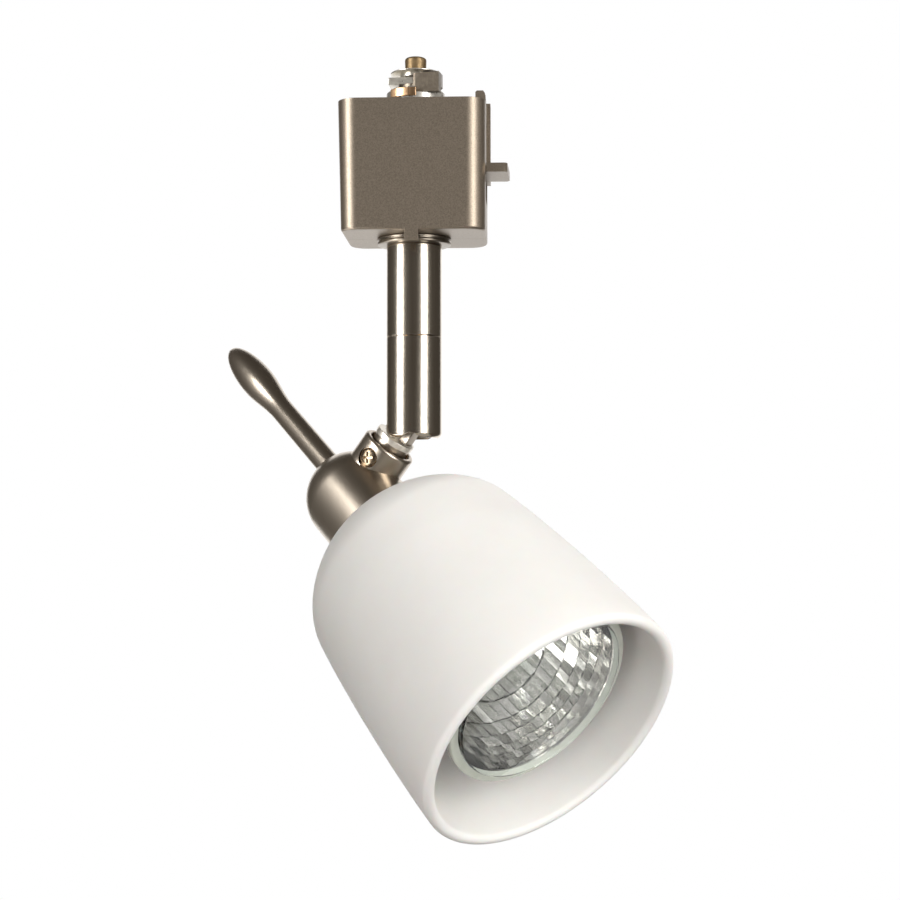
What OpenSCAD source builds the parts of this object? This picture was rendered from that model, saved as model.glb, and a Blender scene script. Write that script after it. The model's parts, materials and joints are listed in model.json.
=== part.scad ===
// Track spotlight: plug-in track adapter, swivel stem, knuckle and aimed head with a glass shade.
// Millimetres, +Z up. Origin on the stem's axis, at the adapter's top face.

/* [Adapter] */
// Width of the housing, across its latch side
adapter_w = 38; // [36:0.5:42]
// Depth of the housing, front to back
adapter_d = 31.4; // [31:0.2:36]
// Height of the housing
adapter_h = 33.8; // [33:0.2:36]
// Radius of the housing's upright corners
corner_r = 5; // [3:0.5:6]
// Wall of the two housing covers
wall = 2; // [1.6:0.1:2.4]
// Radius of the contact turret
turret_r = 7.7; // [7:0.1:8.2]
// Height of the turret above the housing
turret_h = 5.2; // [5:0.1:6]
// Radius of the spring-loaded ground pin's head
pin_r = 2.85; // [2.4:0.05:3]

/* [Stem] */
// Radius of the stem tubes
stem_r = 7.25; // [7:0.05:7.5]
// Wall of the stem tubes
stem_wall = 1.1; // [1:0.1:1.2]
// Height of the collar under the housing
collar_h = 1.9; // [1.8:0.1:2.4]
// Height of the swivel seam
seam_z = -59.8; // [-62:0.1:-58]
// Height of the lower tube's open end
stem_end_z = -86.3; // [-87:0.1:-86]
// Height of the knuckle's hinge pin
hinge_z = -79.1; // [-80:0.1:-79]

/* [Pose at rest] */
// Compass direction in which the arm leans, from +X
arm_azimuth = 156; // [0:0.5:359]
// Lean of the arm from straight down
arm_tilt = 38.5; // [0:0.5:85]
// Turn of the head about the arm, from square on
head_turn = 18; // [-80:1:80]
// Tilt of the loosely held lamp in its holder
lamp_tilt = 4; // [0:0.5:4]

/* [Head] */
// Distance from the hinge pin to the centre of the cup's dome
arm_len = 29; // [28:0.5:32]
// Radius of the cup's dome and skirt
cup_r = 12.6; // [12:0.1:13]
// Radius of the boss that takes the arm
boss_r = 7.25; // [7.1:0.05:8]
// Distance from the hinge pin to the mouth of the boss
mouth_gap = 11.3; // [11:0.1:11.5]
// Distance from the dome's centre to the handle's tip
handle_len = 73.2; // [60:0.2:80]
// Largest radius of the handle's grip
grip_r = 4.75; // [4:0.05:5.5]

/* [Shade and lamp] */
// Wall of the glass shade
glass_t = 3; // [2.6:0.1:3.2]
// Distance from the dome's centre to the back of the shade
shade_back = 17.2; // [17:0.1:18]
// Distance from the dome's centre to the shade's lip
shade_front = 94; // [90:0.5:96]
// Outer radius of the shade's lip
lip_r = 34.9; // [33:0.1:36]
// Distance from the dome's centre to the lamp's flange
lamp_front = 84.4; // [82:0.1:86]
// Radius of the lamp's flange
lamp_r = 25.35; // [24.8:0.05:25.4]

/* [Hidden] */
$fn = 96;
eps = 0.01;
gap = 0.05;

// Housing
floor_z = -adapter_h + wall;
half_w = adapter_w / 2;
half_d = adapter_d / 2;
screw_spots = [[-13.5, -6.5], [-13.5, -26.5], [8.6, -24]];
post_r = 2.6;
block_top = -13.5;
turret_x = 0.35;
skirt_z = 3.6;
// Latch
channel_y = [-7.7, 8.7];
channel_floor = -24.5;
tab_z = [-18.25, -15.9];
latch_back_z = -18;
latch_spring_at = [13.8, 0.5];
// Stem
collar_z = -adapter_h - collar_h;
nipple_r = 4.8;
tube_in = stem_r - stem_wall;
spigot_r = 4.5;
seam_gap = 0.2;
web_t = 2.4;
// Knuckle
hinge_r = 1.5;
eye_r = 4.9;
tongue_t = 3.8;
tongue_u = [-4.3, -1.9];
flange_r = 5.45;
flange_z = [-9.9, -8.3];
sweep_r = 8;
stud_r = 4;
mouth_z = arm_len - mouth_gap;
seat_z = mouth_z - 2.5;
pocket_z = 9.6;
boss_screw_z = 13.2;
boss_screw_turn = 16;
// Head, measured along its axis from the dome's centre
cup_wall = 1.8;
cup_front = shade_back - 0.9;
nipple_back = 9;
bracket_x = 23.05;
holder_x = 24.5;
holder_front = 36.9;
holder_r = 13.4;
pin_pitch = 10;
lamp_pivot = 33;
base_x = 38;
base_front = 50;
neck_r = 9.2;
handle_rise = 0.8;
handle_neck = 3.25;

// Puts its children in the arm's frame: hinge pin along Y, arm towards -Z.
module at_arm() {
    translate([0, 0, hinge_z])
        rotate([0, 0, arm_azimuth])
            rotate([0, -arm_tilt, 0])
                children();
}

// Puts its children in the head's frame: light along +X, arm towards +Z.
module at_head() {
    at_arm()
        translate([0, 0, -arm_len])
            rotate([0, 0, 180 - head_turn])
                children();
}

// Puts its children in the lamp's frame, tilted in the holder.
module at_lamp() {
    at_head()
        translate([lamp_pivot, 0, 0])
            rotate([0, -lamp_tilt, 0])
                translate([-lamp_pivot, 0, 0])
                    children();
}

// Cylinder along +X from x0 to x1, as wide as r0 and r1 at its ends.
module bar(x0, x1, r0, r1 = 0) {
    translate([x0, 0, 0])
        rotate([0, 90, 0])
            cylinder(h = x1 - x0, r1 = r0, r2 = r1 > 0 ? r1 : r0);
}

// Ring along +X.
module hoop(x0, x1, outer, inner) {
    difference() {
        bar(x0, x1, outer);
        bar(x0 - 1, x1 + 1, inner);
    }
}

// Upright ring between two heights.
module ring(z0, z1, outer, inner) {
    translate([0, 0, z0])
        difference() {
            cylinder(h = z1 - z0, r = outer);
            translate([0, 0, -1])
                cylinder(h = z1 - z0 + 2, r = inner);
        }
}

// Block with four round upright corners, standing on z0.
module rounded_block(w, d, r, z0, z1) {
    translate([0, 0, z0])
        linear_extrude(z1 - z0)
            union() {
                square([w - 2 * r, d], center = true);
                square([w, d - 2 * r], center = true);
                for (x = [-1, 1], y = [-1, 1])
                    translate([x * (w / 2 - r), y * (d / 2 - r)])
                        circle(r);
            }
}

// Upright part of a ring between two compass directions less than 180 degrees apart.
module ring_sector(z0, z1, outer, inner, from, to) {
    reach = 2 * outer;
    intersection() {
        ring(z0, z1, outer, inner);
        translate([0, 0, z0 - 1])
            linear_extrude(z1 - z0 + 2)
                polygon([
                    [0, 0],
                    [reach * cos(from), reach * sin(from)],
                    [reach * cos((from + to) / 2), reach * sin((from + to) / 2)],
                    [reach * cos(to), reach * sin(to)]
                ]);
    }
}

// Upright coil spring from z0 to z1, drawn as one swept polyhedron.
module coil(z0, z1, mean_r, wire_r, turns) {
    sides = 8;
    steps = 16;
    last = turns * steps;
    rise = (z1 - z0 - 2 * wire_r) / last;
    points = [
        for (i = [0 : last], j = [0 : sides - 1])
            let (a = 360 * i / steps, b = 360 * j / sides, r = mean_r + wire_r * cos(b))
                [r * cos(a), r * sin(a), z0 + wire_r + rise * i + wire_r * sin(b)]
    ];
    sleeve = [
        for (i = [0 : last - 1], j = [0 : sides - 1])
            let (k = (j + 1) % sides)
                [i * sides + j, (i + 1) * sides + j, (i + 1) * sides + k, i * sides + k]
    ];
    ends = [
        [for (j = [0 : sides - 1]) j],
        [for (j = [sides - 1 : -1 : 0]) last * sides + j]
    ];
    polyhedron(points, concat(sleeve, ends));
}

// Countersunk or cheese head screw with a cross recess, head up at z = 0, shank below.
module cross_screw(head_r, head_h, shank_r, shank_h) {
    difference() {
        union() {
            cylinder(h = head_h, r1 = head_r, r2 = head_r * 0.85);
            translate([0, 0, -shank_h])
                cylinder(h = shank_h + eps, r = shank_r);
        }
        for (turn = [0, 90])
            rotate([0, 0, turn])
                translate([-head_r * 0.55, -head_r * 0.11, head_h * 0.35])
                    cube([head_r * 1.1, head_r * 0.22, head_h]);
    }
}

// Everything that opens the housing: latch channel, turret hole, nipple hole.
module housing_openings() {
    translate([half_w - wall - 0.1, channel_y[0], channel_floor])
        cube([wall + 1, channel_y[1] - channel_y[0], adapter_h]);
    translate([16.1, channel_y[0], -wall - 1])
        cube([5, 7.5, adapter_h]);
    translate([turret_x, 0, -wall - 1])
        cylinder(h = wall + 2, r = turret_r + 0.1);
    translate([0, 0, -adapter_h - 1])
        cylinder(h = wall + 2, r = nipple_r + gap);
}

// Closed housing before it is split into covers, with ledges under the turret and terminal block.
module housing() {
    ledge = 1.4;
    difference() {
        rounded_block(adapter_w, adapter_d, corner_r, -adapter_h, 0);
        rounded_block(adapter_w - 2 * wall, adapter_d - 2 * wall, corner_r - wall, floor_z, -wall);
        housing_openings();
    }
    for (side = [-1, 1], top = [-4.25, block_top - 4.05])
        translate([-6, side * (half_d - wall - ledge / 2) - ledge / 2 - 0.05, top - ledge])
            cube([12, ledge + 0.1, ledge]);
}

// Places its children at each cover screw, with +Z along +Y.
module at_cover_screws() {
    for (spot = screw_spots)
        translate([spot[0], 0, spot[1]])
            rotate([-90, 0, 0])
                children();
}

module front_cover() {
    tab_w = 3.5;
    tab_drop = 2.9;
    color("#94897c") {
        difference() {
            union() {
                intersection() {
                    housing();
                    translate([-adapter_w, -adapter_d, -2 * adapter_h])
                        cube([2 * adapter_w, adapter_d - gap / 2, 3 * adapter_h]);
                }
                at_cover_screws()
                    translate([0, 0, -half_d + wall - eps])
                        cylinder(h = half_d - wall - gap, r = post_r);
            }
            at_cover_screws()
                translate([0, 0, -10])
                    cylinder(h = 12, r = 1.22);
        }
        translate([0.2 - tab_w / 2, -half_d, -adapter_h - tab_drop])
            cube([tab_w, wall, tab_drop + eps]);
    }
}

module rear_cover() {
    color("#94897c")
        difference() {
            union() {
                intersection() {
                    housing();
                    translate([-adapter_w, gap / 2, -2 * adapter_h])
                        cube([2 * adapter_w, adapter_d, 3 * adapter_h]);
                }
                at_cover_screws()
                    translate([0, 0, gap / 2])
                        cylinder(h = half_d - wall, r = post_r);
            }
            at_cover_screws() {
                translate([0, 0, -1])
                    cylinder(h = adapter_d, r = 1.5);
                translate([0, 0, half_d - 1.8])
                    cylinder(h = 5, r = 2.35);
            }
        }
}

module cover_screws() {
    color("#c8c8c4")
        at_cover_screws()
            translate([0, 0, half_d - 1.75])
                cross_screw(2.25, 1.5, 1.2, 20);
}

// Puts its children on the turret's own axis.
module at_turret() {
    translate([turret_x, 0, 0])
        children();
}

// Room for the contact blades' feet in the turret.
module contact_slots() {
    for (side = [-112.5, 67.5])
        rotate([0, 0, side]) {
            translate([5.2, -1.15, 2.25])
                cube([4, 2.3, 5]);
            translate([5.2, -1.15, -6])
                cube([1, 2.3, 12]);
        }
}

module contact_turret() {
    round = 0.8;
    color("#b9b7b0")
        difference() {
            union() {
                translate([-9.4, -half_d + wall + gap, -4.2])
                    cube([18.8, adapter_d - 2 * wall - 2 * gap, 4.2 - wall - gap]);
                at_turret() {
                    translate([0, 0, -wall - gap - eps])
                        cylinder(h = wall + gap + turret_h - round + eps, r = turret_r);
                    translate([0, 0, turret_h - round - eps])
                        cylinder(h = round + eps, r1 = turret_r, r2 = turret_r - round);
                }
            }
            at_turret() {
                contact_slots();
                translate([0, 0, -6])
                    cylinder(h = 16, r = 1.66);
            }
            translate([0.4, -9, skirt_z - 0.15])
                cube([9, 9 - 5.6, 3]);
        }
}

// Curved contact blade with its leg down to the terminal block.
module contact_blade(side) {
    at_turret()
        rotate([0, 0, side]) {
            ring_sector(2.4, 4.6, turret_r + 0.6, turret_r + gap, -26.5, 26.5);
            translate([5.3, -1, 2.4])
                cube([turret_r + 0.2 - 5.3, 2, 0.8]);
            translate([5.3, -1, block_top + gap])
                cube([0.8, 2, 2.4 + eps - block_top - gap]);
        }
}

module live_contact() {
    color("#c79a5e")
        contact_blade(-112.5);
}

module neutral_contact() {
    color("#c79a5e")
        contact_blade(67.5);
}

module lock_head() {
    color("#8f897f")
        difference() {
            union() {
                at_turret()
                    translate([0, 0, turret_h + gap])
                        cylinder(h = 1.25, r = 4.5);
                translate([0, 0, turret_h + gap])
                    linear_extrude(3.5)
                        polygon([[0, -5.7], [6.8, -7.9], [7.65, -3.4], [5.6, 3.6], [0, 3.6]]);
                // Skirt that hangs in front of the turret
                translate([0, 0, skirt_z])
                    linear_extrude(turret_h + 3.5 - skirt_z)
                        polygon([[0.6, -6.5], [6.8, -7.9], [7.3, -5.7], [0.6, -5.7]]);
            }
            at_turret()
                translate([0, 0, turret_h - 1])
                    cylinder(h = 6, r = 1.66);
            translate([-8, -9, turret_h + 1.35])
                cube([8, 18, 4]);
        }
}

module head_plate() {
    color("#e4e2dc")
        difference() {
            translate([0, 0, turret_h + 1.4])
                linear_extrude(1.9)
                    polygon([[-6.7, -2.7], [-0.05, -3.6], [-0.05, 3.6], [-6.2, 4.4]]);
            at_turret()
                translate([0, 0, turret_h])
                    cylinder(h = 6, r = 1.66);
        }
}

module pin_washer() {
    base_z = turret_h + 3.6;
    bore = pin_r + 0.06;
    color("#d2d2c8")
        at_turret()
            translate([0, 0, base_z])
                rotate_extrude()
                    polygon([
                        [bore, 0], [4, 0], [4, 0.9], [6.4, 0.9], [6.7, 1.05], [6.7, 1.35],
                        [6.4, 1.5], [4.2, 1.6], [bore, 1.6]
                    ]);
}

module terminal_block() {
    color("#3a3936")
        difference() {
            translate([-9.5, -half_d + wall + gap, block_top - 4])
                cube([19, adapter_d - 2 * wall - 2 * gap, 4]);
            at_turret()
                translate([0, 0, block_top - 5])
                    cylinder(h = 6, r = 1.7);
            for (x = [-6.5, 6.5])
                translate([x, 0, block_top - 3])
                    cylinder(h = 4, r = 1.05);
        }
}

module terminal_screws() {
    color("#c79a5e")
        for (x = [-6.5, 6.5])
            translate([x, 0, block_top + gap])
                cross_screw(2, 1.2, 1, 2.6);
}

module ground_pin() {
    foot = turret_h + 5.35;
    color("#94703f")
        at_turret() {
            translate([0, 0, foot])
                rotate_extrude()
                    polygon([
                        [0, 0], [pin_r - 0.15, 0], [pin_r - 0.05, 1.6], [pin_r, 2.9],
                        [pin_r - 0.2, 3.4], [pin_r - 0.8, 3.65], [0, 3.65]
                    ]);
            translate([0, 0, -5.4])
                cylinder(h = foot + 5.45, r = 1.6);
            translate([0, 0, -5.4])
                cylinder(h = 1, r = 3);
        }
}

module pin_spring() {
    color("#b9b9b5")
        at_turret()
            coil(block_top + gap, -5.45, 2.3, 0.28, 5);
}

module latch_spring() {
    color("#b9b9b5")
        translate([latch_spring_at[0], latch_spring_at[1], 0])
            coil(floor_z + gap, latch_back_z - 0.1, 1.8, 0.3, 7);
}

module track_latch() {
    back_top = -wall - 0.15;
    color("#94897c") {
        // Ear that locks into the track, with its outer flank sloping down to the plate
        translate([0, channel_y[0] + 7.2, 0])
            rotate([90, 0, 0])
                linear_extrude(7)
                    polygon([
                        [16.3, -4.1], [16.3, 3.2], [16.7, 3.6], [18.3, 3.6],
                        [18.8, 2.9], [half_w, 0.6], [half_w, -4.1]
                    ]);
        // Plate in the channel, retaining flange behind it, and grip rib on it
        translate([half_w - wall, channel_y[0] + 0.2, tab_z[0]])
            cube([wall - gap, 16, 2.4 - tab_z[0]]);
        translate([15.2, -9.5, latch_back_z])
            cube([half_w - wall - 0.1 - 15.2, 20, back_top - latch_back_z]);
        translate([half_w - wall - 0.2, channel_y[0] + 0.2, latch_back_z])
            cube([0.4, 16, back_top - latch_back_z]);
        translate([half_w - 2 * gap, 2.9, tab_z[0]])
            cube([1.1, 5.4, 2.7 - tab_z[0]]);
        translate([11.8, -1.9, latch_back_z])
            cube([3.5, 4.8, 2]);
        // Finger tab
        translate([0, 0, tab_z[0]])
            linear_extrude(tab_z[1] - tab_z[0])
                polygon([
                    [half_w - 0.3, -7.4], [half_w + 0.15, -7.4], [half_w + 0.15, -10.3],
                    [24, -10.3], [24.6, -9.6], [25.1, 1.8], [24.4, 2.6], [half_w - 0.3, 2.6]
                ]);
    }
}

module stem_nipple() {
    color("#c9c2b0")
        ring(collar_z - 2.4, floor_z + 6, nipple_r, 3.4);
}

module stem_locknut() {
    color("#c9c2b0")
        translate([0, 0, floor_z + gap])
            difference() {
                cylinder(h = 3, r = 8, $fn = 6);
                translate([0, 0, -1])
                    cylinder(h = 5, r = nipple_r + gap);
            }
}

module stem_collar() {
    collar_r = 9.7;
    color("#8c8478")
        difference() {
            translate([0, 0, collar_z])
                rotate_extrude()
                    polygon([
                        [0, 0], [stem_r + 0.6, 0], [collar_r - 0.6, 0.1], [collar_r, 0.6],
                        [collar_r, 0.95], [collar_r - 0.35, 1.1], [collar_r - 0.35, 1.3],
                        [collar_r - 0.05, 1.45], [collar_r - 0.05, collar_h - gap], [0, collar_h - gap]
                    ]);
            translate([0, 0, collar_z - 1])
                cylinder(h = collar_h + 2, r = nipple_r + gap);
        }
}

module upper_stem() {
    cap = 2.4;
    color("#8c8478")
        difference() {
            translate([0, 0, seam_z])
                cylinder(h = collar_z - gap - seam_z, r = stem_r);
            translate([0, 0, seam_z - 1])
                cylinder(h = collar_z - cap - seam_z + 1, r = tube_in);
            translate([0, 0, collar_z - cap - 1])
                cylinder(h = cap + 2, r = nipple_r + gap);
        }
}

module swivel_bush() {
    color("#b8a888")
        difference() {
            union() {
                translate([0, 0, seam_z])
                    cylinder(h = 8, r = tube_in - gap);
                translate([0, 0, seam_z - 7.6])
                    cylinder(h = 7.7, r = spigot_r);
            }
            translate([0, 0, seam_z - 9])
                cylinder(h = 18, r = 3.2);
        }
}

module swivel_retainer() {
    color("#b9b9b5")
        ring(seam_z - 4.7, seam_z - 3.6, 5.8, spigot_r + eps);
}

module swivel_washer() {
    color("#c79a5e")
        ring(seam_z - 3.4, seam_z - seam_gap - web_t - gap, 5.9, spigot_r + 0.15);
}

// Clearance for the arm's tongue, open downwards and towards the lean.
module tongue_slot(half_t, r) {
    rotate([90, 0, 0])
        translate([0, 0, -half_t])
            cylinder(h = 2 * half_t, r = r);
    translate([-r, -half_t, -12])
        cube([2 * r, 2 * half_t, 12]);
    translate([0, -half_t, -12])
        cube([stem_r + 2, 2 * half_t, 12 + r]);
}

// Clearance round the hinge pin for the arm's flange, on the side of the lean.
module flange_sweep() {
    half_t = flange_r + 0.3;
    difference() {
        translate([0, -half_t, -12])
            cube([stem_r + 2, 2 * half_t, 12]);
        rotate([90, 0, 0])
            translate([0, 0, -half_t - 1])
                cylinder(h = 2 * half_t + 2, r = sweep_r);
    }
}

module lower_stem() {
    top_z = seam_z - seam_gap;
    scallop_r = 2.8;
    scallop_h = 1.3;
    edge = 1.4;
    color("#8c8478")
        difference() {
            union() {
                translate([0, 0, stem_end_z + edge])
                    cylinder(h = top_z - stem_end_z - edge, r = stem_r);
                rotate_extrude()
                    polygon(concat(
                        [[0, stem_end_z + edge + eps]],
                        [[0, stem_end_z]],
                        [for (a = [-90 : 15 : 0]) [stem_r - edge + edge * cos(a), stem_end_z + edge + edge * sin(a)]],
                        [[stem_r, stem_end_z + edge + eps]]
                    ));
            }
            translate([0, 0, stem_end_z - 1])
                cylinder(h = top_z - web_t - stem_end_z + 1, r = tube_in);
            translate([0, 0, top_z - web_t - 1])
                cylinder(h = web_t + 2, r = spigot_r + gap);
            translate([0, 0, hinge_z])
                rotate([0, 0, arm_azimuth]) {
                    tongue_slot(2.9, eye_r + 0.6);
                    flange_sweep();
                }
            for (side = [-95, 36])
                rotate([0, 0, side])
                    translate([0, 0, stem_end_z - scallop_r + scallop_h])
                        rotate([0, 90, 0])
                            cylinder(h = stem_r + 2, r = scallop_r);
        }
}

module knuckle_block() {
    color("#a39a86")
        translate([0, 0, hinge_z])
            rotate([0, 0, arm_azimuth])
                difference() {
                    translate([0, 0, -5.2])
                        cylinder(h = 13.2, r = tube_in - 0.03);
                    tongue_slot(2.7, eye_r + 0.4);
                    rotate([90, 0, 0])
                        translate([0, 0, -8])
                            cylinder(h = 16, r = hinge_r + 0.02);
                    for (y = [-4.6, 4.6])
                        translate([-3.4, y, -7])
                            cylinder(h = 20, r = 1.3);
                }
}

module hinge_pin() {
    color("#c8c8c4")
        translate([0, 0, hinge_z])
            rotate([0, 0, arm_azimuth])
                rotate([90, 0, 0])
                    translate([0, 0, -5.8])
                        cylinder(h = 11.6, r = hinge_r);
}

module knuckle_arm() {
    stud_end = -(arm_len - pocket_z + 0.15);
    shoulder = -(arm_len - seat_z - 1.3);
    color("#9a9284")
        at_arm()
            difference() {
                union() {
                    rotate([90, 0, 0])
                        translate([0, 0, -tongue_t / 2])
                            cylinder(h = tongue_t, r = eye_r);
                    translate([tongue_u[0], -tongue_t / 2, flange_z[1] - eps])
                        cube([tongue_u[1] - tongue_u[0], tongue_t, -flange_z[1]]);
                    translate([0, 0, flange_z[0]])
                        cylinder(h = flange_z[1] - flange_z[0], r = flange_r);
                    translate([0, 0, shoulder])
                        cylinder(h = flange_z[0] - shoulder + eps, r = 5);
                    translate([0, 0, stud_end])
                        cylinder(h = shoulder - stud_end + eps, r = stud_r);
                    translate([0, 0, stud_end - 2.3])
                        cylinder(h = 2.4, r = 3.1);
                }
                rotate([90, 0, 0])
                    translate([0, 0, -8])
                        cylinder(h = 16, r = hinge_r + 0.06);
            }
}

module hinge_washers() {
    color("#c79a5e")
        at_arm()
            for (side = [-1, 1])
                translate([0, side * (tongue_t / 2 + 0.4), 0])
                    rotate([90, 0, 0])
                        difference() {
                            cylinder(h = 0.7, r = 4.2, center = true);
                            cylinder(h = 2, r = hinge_r + 0.07, center = true);
                        }
}

module arm_retainer() {
    top = -(arm_len - pocket_z + 0.2);
    color("#b9b9b5")
        at_arm()
            ring(top - 1.4, top, 5, 3.12);
}

module socket_cup() {
    inner = cup_r - cup_wall;
    color("#8c8478")
        at_head()
            difference() {
                union() {
                    sphere(r = cup_r);
                    bar(0, cup_front, cup_r);
                    cylinder(h = mouth_z, r = boss_r);
                }
                sphere(r = inner);
                bar(0, cup_front + 1, inner);
                // Arm bore, its seat in the boss's mouth, and the retainer's pocket
                translate([0, 0, 4.5])
                    cylinder(h = pocket_z - 4.5, r = 5.6);
                cylinder(h = mouth_z + 1, r = stud_r + 0.06);
                translate([0, 0, seat_z])
                    cylinder(h = 5, r = boss_r - 1.4);
                // Lock screw's hole and recess
                translate([0, 0, boss_screw_z])
                    rotate([90, 0, boss_screw_turn]) {
                        cylinder(h = 12, r = 1.82);
                        translate([0, 0, 5.8])
                            cylinder(h = 6, r = 2.75);
                    }
                // Handle's seats and hole
                translate([0, 0, handle_rise]) {
                    bar(-20, -12.05, 3.9);
                    bar(-14, -5, 2.02);
                    bar(-10.6, -6, 4.5);
                }
            }
}

module boss_washer() {
    color("#b08a4c")
        at_head()
            ring(seat_z + gap, seat_z + 1.1, boss_r - 1.5, stud_r + 0.15);
}

module boss_screw() {
    color("#c9a46a")
        at_head()
            translate([0, 0, boss_screw_z])
                rotate([90, 0, boss_screw_turn])
                    translate([0, 0, 5.85])
                        cross_screw(2.6, 1.3, 1.78, 1.7);
}

// Radius of the handle at x from the dome's centre.
function handle_r(x) =
    let (
        swell = handle_len - 16.2,
        neck = handle_len - 32.2
    )
    x < neck ? handle_neck + 0.1 * (neck - x) / neck
    : x < swell ? handle_neck + (grip_r - handle_neck) * (1 - cos(180 * (x - neck) / (swell - neck))) / 2
    : grip_r * pow(max(0, 1 - pow((x - swell) / (handle_len - swell), 2)), 0.5);

module aiming_handle() {
    foot = 12.07;
    steps = 48;
    color("#6d6458")
        at_head()
            translate([0, 0, handle_rise])
                rotate([0, -90, 0])
                    rotate_extrude()
                        polygon(concat(
                            [[0, 8.6], [2, 8.6], [2, foot]],
                            [
                                for (i = [0 : steps - 1])
                                    let (s = sin(90 * i / steps), x = foot + (handle_len - foot) * s)
                                        [handle_r(x), x]
                            ],
                            [[0, handle_len]]
                        ));
}

module handle_nut() {
    color("#c8c8c4")
        at_head()
            translate([0, 0, handle_rise])
                difference() {
                    translate([-10.55, 0, 0])
                        rotate([0, 90, 0])
                            cylinder(h = 2.2, r = 4, $fn = 6);
                    bar(-12, -6, 2.02);
                }
}

module shade_nipple() {
    color("#c9c2b0")
        at_head()
            difference() {
                union() {
                    bar(nipple_back, cup_front, cup_r - cup_wall - gap);
                    bar(cup_front - eps, bracket_x - gap, 9);
                }
                bar(0, 40, 7);
            }
}

module shade_gasket() {
    color("#e9e6dc")
        at_head()
            hoop(cup_front + gap, shade_back - gap, 12.2, 9.1);
}

// Point on a cubic curve with end points a and d and handles b and c.
function cubic(a, b, c, d, s) =
    pow(1 - s, 3) * a + 3 * s * pow(1 - s, 2) * b + 3 * s * s * (1 - s) * c + pow(s, 3) * d;
// Direction of the same curve.
function cubic_dir(a, b, c, d, s) =
    3 * pow(1 - s, 2) * (b - a) + 6 * s * (1 - s) * (c - b) + 3 * s * s * (d - c);
// Shoulder and wall of the shade as [radius, distance along the axis].
shoulder = [[12.9, shade_back], [18.7, shade_back + 0.7], [29.5, 26.9], [30.6, 35.5]];
side = [[30.6, 35.5], [32.7, 50], [34.7, 75], [lip_r, shade_front - 1.4]];
function shade_outer(s) =
    s < 1 ? cubic(shoulder[0], shoulder[1], shoulder[2], shoulder[3], s)
    : cubic(side[0], side[1], side[2], side[3], s - 1);
function shade_dir(s) =
    s < 1 ? cubic_dir(shoulder[0], shoulder[1], shoulder[2], shoulder[3], s)
    : cubic_dir(side[0], side[1], side[2], side[3], s - 1);
// Same curve, moved inwards by the wall.
function shade_inner(s) =
    let (v = shade_dir(s), n = [-v[1], v[0]] / norm(v))
        shade_outer(s) + glass_t * n;

module glass_shade() {
    neck = 9.6;
    lip = glass_t / 2;
    step = 1 / 14;
    mid = (shade_outer(2) + shade_inner(2)) / 2;
    color("#efece4")
        at_head()
            rotate([0, 90, 0])
                rotate_extrude()
                    polygon(concat(
                        [[neck, shade_back]],
                        [for (s = [0 : step : 2 + eps]) shade_outer(min(s, 2))],
                        [for (a = [20 : 20 : 160]) mid + lip * [cos(a), sin(a)]],
                        [for (s = [0 : step : 2 + eps]) shade_inner(max(2 - s, 0))],
                        [[neck, shade_back + glass_t]]
                    ));
}

module shade_ring() {
    color("#d8d4c8")
        at_head()
            difference() {
                hoop(shade_back + glass_t + gap, bracket_x - gap, 12.3, 9.05);
                for (turn = [0 : 45 : 315])
                    rotate([turn, 0, 0])
                        translate([20, 11.6, -0.7])
                            cube([4, 2, 1.4]);
            }
}

module holder_bracket() {
    color("#c8c8c4")
        at_head()
            difference() {
                union() {
                    bar(bracket_x, holder_x - gap, 12);
                    bar(bracket_x - 4, bracket_x + eps, 6.95);
                }
                bar(10, 40, 3);
                for (z = [-9, 9])
                    translate([0, 0, z])
                        bar(10, 40, 1.25);
            }
}

module holder_screws() {
    color("#c8c8c4")
        at_head()
            for (z = [-9, 9])
                translate([34.3, 0, z])
                    rotate([0, 90, 0])
                        cross_screw(2.2, 1.3, 1.2, 10.9);
}

module lampholder() {
    color("#f1efe8")
        at_head()
            difference() {
                bar(holder_x, holder_front, holder_r);
                for (y = [-1, 1])
                    translate([0, y * pin_pitch / 2, 0]) {
                        bar(29, 40, 2.9);
                        bar(26, 30, 2.3);
                    }
                for (z = [-9, 9])
                    translate([0, 0, z]) {
                        bar(20, 40, 1.3);
                        bar(34.2, 40, 2.5);
                    }
            }
}

module holder_contacts() {
    color("#c79a5e")
        at_head()
            for (y = [-1, 1])
                translate([0, y * pin_pitch / 2, 0])
                    bar(26.05, 29.5, 2.25);
}

module lamp_pins() {
    color("#c8c8c4")
        at_lamp()
            for (y = [-1, 1])
                translate([0, y * pin_pitch / 2, 0]) {
                    bar(30.7, 32.6, 2.4);
                    bar(32.5, base_x - gap, 1.4);
                }
}

module lamp_base() {
    color("#e8e6df")
        at_lamp()
            difference() {
                union() {
                    bar(base_x, base_x + 2, 8.5, 12.2);
                    bar(base_x + 2 - eps, base_front, 12.2);
                }
                bar(44, 60, neck_r + gap);
            }
}

// Outer radius of the lamp's bowl at x along the lamp.
function bowl_r(x) = neck_r + (23.6 - neck_r) * pow((x - base_front) / (lamp_front - 2.2 - base_front), 0.55);

module lamp_reflector() {
    bowl_t = 1.3;
    front = lamp_front - 2.2;
    steps = 14;
    xs = [for (i = [0 : steps]) base_front + (front - base_front) * pow(i / steps, 1.6)];
    color("#dfe3e0")
        at_lamp()
            rotate([0, 90, 0])
                rotate_extrude()
                    polygon(concat(
                        [[6.2, 44.1], [neck_r, 44.1]],
                        [for (x = xs) [bowl_r(x), x]],
                        [[lamp_r, front], [lamp_r, lamp_front], [23.2, lamp_front]],
                        [for (i = [steps : -1 : 1]) [bowl_r(xs[i]) - bowl_t, xs[i] + 0.4]],
                        [[7.4, base_front + 1.6], [6.2, base_front]]
                    ));
}

module lamp_cover_glass() {
    color("#dfeee4")
        at_lamp()
            bar(lamp_front + gap, lamp_front + 2.4, 23.1);
}

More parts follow.
